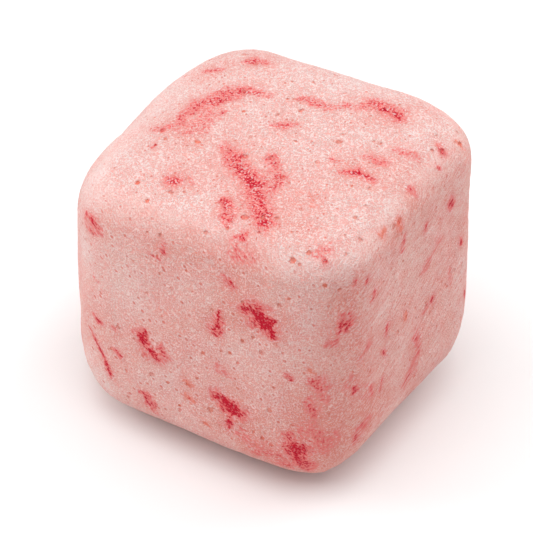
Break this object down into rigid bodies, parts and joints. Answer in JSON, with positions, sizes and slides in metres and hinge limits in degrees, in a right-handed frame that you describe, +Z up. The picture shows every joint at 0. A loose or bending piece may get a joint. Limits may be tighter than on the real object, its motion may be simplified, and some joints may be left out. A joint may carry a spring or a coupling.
{
  "type": "freeze-dried yogurt bite",
  "caption": "Bite-size rounded cube of freeze-dried strawberry yogurt, a dry pink foam with crimson fruit marbling and open pores, resting on its flat underside.",
  "frame": {"origin": "middle of the bounding box of the underside, on the surface that the bite rests on", "axes": "+Z up; the wide face that looks left and forward in the picture faces -Y, the face that looks right faces +X"},
  "size_m": [0.0204, 0.0178, 0.0181],
  "materials": {
    "yogurt_foam": "dry matte foam, pale pink with crimson fruit marbling"
  },
  "bodies": {
    "root": {"yogurt_bite": "yogurt_foam"}
  },
  "joints": []
}
